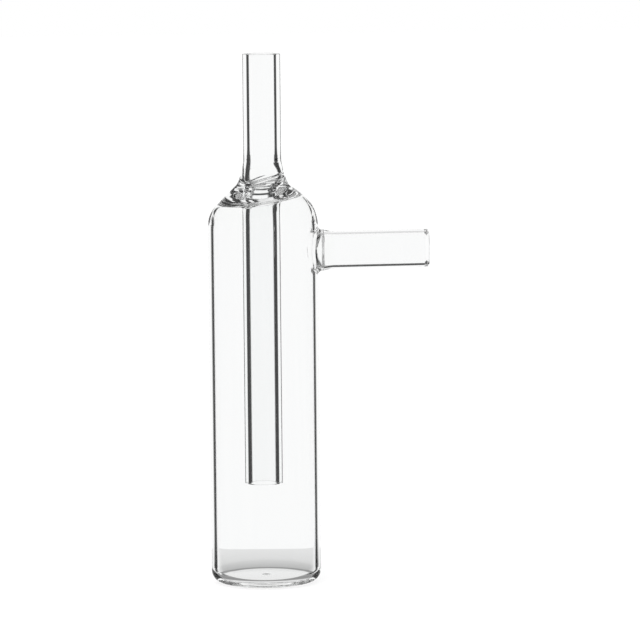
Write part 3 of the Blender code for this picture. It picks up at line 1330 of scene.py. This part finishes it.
LEFT_HEEL_TOP = Card(left=-28.0, right=-19.0, low=-20.4, high=-17.0, shade=0.3, soft=4.0, soft_level=2.5)
RIGHT_HEEL = Card(left=25.0, right=34.0, low=-30.5, high=-17.0, shade=0.3, soft=4.0, soft_level=2.5)


@dataclass(frozen=True)
class Surroundings:
    """White paper all round, with cards that draw the edges of clear glass."""

    edge_cards: tuple[Card, ...] = (RIGHT_LOW, RIGHT_HIGH, LEFT_LOW, LEFT_HIGH, FAR_LEFT, IN_FRONT)
    base_cards: tuple[Card, ...] = (RIGHT_FOOT, LEFT_FOOT, LEFT_HEEL, LEFT_HEEL_TOP, RIGHT_HEEL)
    level_cards: tuple[Card, ...] = (UNDERNEATH, OVERHEAD, HIGH_VEIL)
    paper: float = 1.0

    def build(self) -> None:
        """Make the world."""
        world = bpy.data.worlds.new("white_studio")
        bpy.context.scene.world = world
        world.use_nodes = True
        wire = Wiring(world.node_tree)
        background = world.node_tree.nodes["Background"]
        background.inputs["Color"].default_value = WHITE
        place = wire.add("ShaderNodeTexCoord")
        parts = wire.add("ShaderNodeSeparateXYZ")
        wire.feed(parts.inputs["Vector"], place.outputs["Generated"])
        side = wire.maths("DEGREES", wire.maths("ARCTAN2", parts.outputs["X"], parts.outputs["Y"]))
        level = wire.maths("DEGREES", wire.maths("ARCSINE", parts.outputs["Z"]))
        seen: Value = self.paper
        for card in self.edge_cards + self.base_cards + self.level_cards:
            seen = wire.maths("MULTIPLY", seen, card.light(wire, side, level))
        path = wire.add("ShaderNodeLightPath")
        less = wire.maths("SUBTRACT", seen, self.paper)
        through = path.outputs["Is Transmission Ray"]
        wire.feed(background.inputs["Strength"], wire.maths("MULTIPLY_ADD", less, through, self.paper))


@dataclass(frozen=True)
class Tone:
    """Grey of the glass-only ground under and behind the base, at a distance from the vessel's axis: its own
    tone under the base and far off, with a painted contact shadow round the heel and painted shade behind
    the base.
    """

    reach: float
    grey: float

    def stop(self, full: float) -> tuple[float, Colour]:
        """The tone as a stop of a ramp that ends at a full distance."""
        return self.reach / full, (self.grey, self.grey, self.grey, 1.0)


@dataclass
class Studio:
    """Floor, light and camera."""

    surroundings: Surroundings
    floor_size: float = 6.0
    floor_drop: float = 0.1 * MM
    floor_grey: Colour = (0.2, 0.2, 0.2, 1.0)
    floor_glow: float = 0.84
    sheet_back: float = 55.5 * MM
    sheet_front: float = 14.6 * MM
    sheet_spread: float = 22.0
    sheet_fade: float = 0.84
    sheet_soft: float = 0.18
    sheet_rim: float = 0.5 * MM
    # Painted shade of the glass-only ground: a contact shadow under the heel, then shade fading out behind
    # the base; the first and last tones are the ground's own grey.
    under_base: Tone = Tone(11.4 * MM, 0.86)
    heel_shadow_inside: Tone = Tone(12.36 * MM, 0.3)
    heel_shadow_outside: Tone = Tone(14.1 * MM, 0.3)
    shadow_beside_heel: Tone = Tone(15.0 * MM, 0.5)
    shadow_near_base: Tone = Tone(25.2 * MM, 0.64)
    shadow_behind_base: Tone = Tone(39.0 * MM, 0.75)
    far_edge: Tone = Tone(55.2 * MM, 0.81)
    tone_reach: float = 60.0 * MM
    camera_distance: float = 1.25
    camera_height: float = 0.207
    camera_azimuth: float = -3.0
    camera_roll: float = 0.52
    lens: float = 265.9
    sensor: float = 36.0
    nearest: float = 0.05
    farthest: float = 50.0
    aim_side: float = 14.93 * MM
    aim_height: float = 70.05 * MM
    lamp_power: float = 6.0
    lamp_size: float = 0.8
    lamp_place: tuple[float, float, float] = (-0.5, -0.6, 1.2)
    bounces: int = 160

    def ground_piece(self, name: str, corners: list[Point], depth: float) -> bpy.types.Object:
        """Make a flat piece of paper.

        Args:
            name: Name of the piece.
            corners: Its outline.
            depth: How far it lies below the object.

        Returns:
            The piece.
        """
        mesh = bpy.data.meshes.new(name)
        mesh.from_pydata([(x, y, -depth) for x, y in corners], [], [tuple(range(len(corners)))])
        material = bpy.data.materials.new(f"{name}_paper")
        material.use_nodes = True
        mesh.materials.append(material)
        piece = bpy.data.objects.new(name, mesh)
        bpy.context.scene.collection.objects.link(piece)
        return piece

    def floor(self) -> None:
        """Pale ground: part even white, part lit so that it keeps a faint shadow."""
        half = self.floor_size / 2
        corners = [(-half, -half), (half, -half), (half, half), (-half, half)]
        floor = self.ground_piece("floor", corners, 2 * self.floor_drop)
        floor.visible_glossy = False
        floor.visible_transmission = False
        shader = floor.data.materials[0].node_tree.nodes["Principled BSDF"]
        shader.inputs["Base Color"].default_value = self.floor_grey
        shader.inputs["Roughness"].default_value = 1.0
        shader.inputs["Specular IOR Level"].default_value = 0.0
        shader.inputs["Emission Color"].default_value = WHITE
        shader.inputs["Emission Strength"].default_value = self.floor_glow

    def shadow_sheet(self) -> None:
        """Glowing paper that only the glass sees, with painted shade: light under the base, a painted
        contact shadow round its heel and painted shade behind it, fading out at the sides.
        """
        widens = math.tan(math.radians(self.sheet_spread))
        far = self.sheet_front + self.sheet_back * widens
        corners = [tuple(point) for point in bend((0.0, 0.0), self.sheet_front, 180.0, 360.0, 48)]
        corners += [(far, self.sheet_back), (-far, self.sheet_back)]
        shadow_sheet = self.ground_piece("shadow_sheet", corners, self.floor_drop)
        shadow_sheet.rotation_euler = (0.0, 0.0, math.radians(self.camera_azimuth))
        shadow_sheet.visible_camera = False
        shadow_sheet.visible_diffuse = False
        shadow_sheet.visible_shadow = False
        tree = shadow_sheet.data.materials[0].node_tree
        wire = Wiring(tree)
        place = wire.add("ShaderNodeTexCoord").outputs["Object"]
        length = wire.add("ShaderNodeVectorMath")
        length.operation = "LENGTH"
        wire.feed(length.inputs[0], place)
        reach = length.outputs["Value"]
        # The ramp paints a contact shadow round the heel and shade behind the base, which glow at these
        # strengths instead of being lit.
        tones = (self.under_base, self.heel_shadow_inside, self.heel_shadow_outside, self.shadow_beside_heel,
                 self.shadow_near_base, self.shadow_behind_base, self.far_edge)
        stops = [tone.stop(self.tone_reach) for tone in tones]
        shade = wire.ramp(wire.maths("DIVIDE", reach, self.tone_reach), stops)
        parts = wire.add("ShaderNodeSeparateXYZ")
        wire.feed(parts.inputs["Vector"], place)
        behind = wire.maths("MAXIMUM", parts.outputs["Y"], 0.0)
        width = wire.maths("MULTIPLY_ADD", behind, widens, self.sheet_front)
        aside = wire.maths("DIVIDE", wire.maths("ABSOLUTE", parts.outputs["X"]), width)
        middle = wire.ease(aside, self.sheet_fade, self.sheet_soft, falling=True)
        under = wire.ease(reach, self.sheet_front, self.sheet_rim, falling=True)
        kept = wire.maths("MAXIMUM", middle, under)
        less = wire.maths("SUBTRACT", shade, 1.0)
        glow = wire.add("ShaderNodeEmission")
        wire.feed(glow.inputs["Strength"], wire.maths("MULTIPLY_ADD", less, kept, 1.0))
        wire.feed(tree.nodes["Material Output"].inputs["Surface"], glow.outputs["Emission"])

    def lamp(self) -> None:
        """Broad soft light from above and in front."""
        light = bpy.data.lights.new("soft_panel", "AREA")
        light.size = self.lamp_size
        light.energy = self.lamp_power
        panel = bpy.data.objects.new("soft_panel", light)
        panel.location = self.lamp_place
        panel.rotation_euler = (-Vector(self.lamp_place)).to_track_quat("-Z", "Y").to_euler()
        panel.visible_glossy = False
        panel.visible_transmission = False
        bpy.context.scene.collection.objects.link(panel)

    def camera(self) -> None:
        """Camera at the photograph's angle, with its slight roll."""
        data = bpy.data.cameras.new("camera")
        data.lens = self.lens
        data.sensor_width = self.sensor
        data.clip_start = self.nearest
        data.clip_end = self.farthest
        camera = bpy.data.objects.new("camera", data)
        bpy.context.scene.collection.objects.link(camera)
        angle = math.radians(self.camera_azimuth)
        right = Vector((math.cos(angle), math.sin(angle), 0.0))
        ahead = Vector((-math.sin(angle), math.cos(angle), 0.0))
        aim = right * self.aim_side + Vector((0.0, 0.0, self.aim_height))
        place = right * self.aim_side - ahead * self.camera_distance + Vector((0.0, 0.0, self.camera_height))
        look = (aim - place).to_track_quat("-Z", "Y").to_matrix().to_4x4()
        roll = Matrix.Rotation(math.radians(-self.camera_roll), 4, "Z")
        camera.matrix_world = Matrix.Translation(place) @ look @ roll
        bpy.context.scene.camera = camera

    def build(self) -> None:
        """Set the whole studio."""
        scene = bpy.context.scene
        scene.view_settings.view_transform = "Standard"
        scene.cycles.max_bounces = self.bounces
        scene.cycles.transmission_bounces = self.bounces
        scene.cycles.glossy_bounces = self.bounces
        scene.cycles.transparent_max_bounces = self.bounces
        self.surroundings.build()
        self.floor()
        self.shadow_sheet()
        self.lamp()
        self.camera()


def main() -> None:
    """Build the studio and every piece of the bubbler, in order."""
    logging.basicConfig(level=logging.INFO)
    LOG.info("the frame holds %d nodes", len(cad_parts))
    Studio(Surroundings()).build()
    shop = Glassware()
    vessel = Vessel.fitted()
    vessel.build(shop)
    InletTube.fitted(vessel).build(shop)
    SideArm.fitted(vessel).build(shop)


if __name__ == "__main__":
    main()
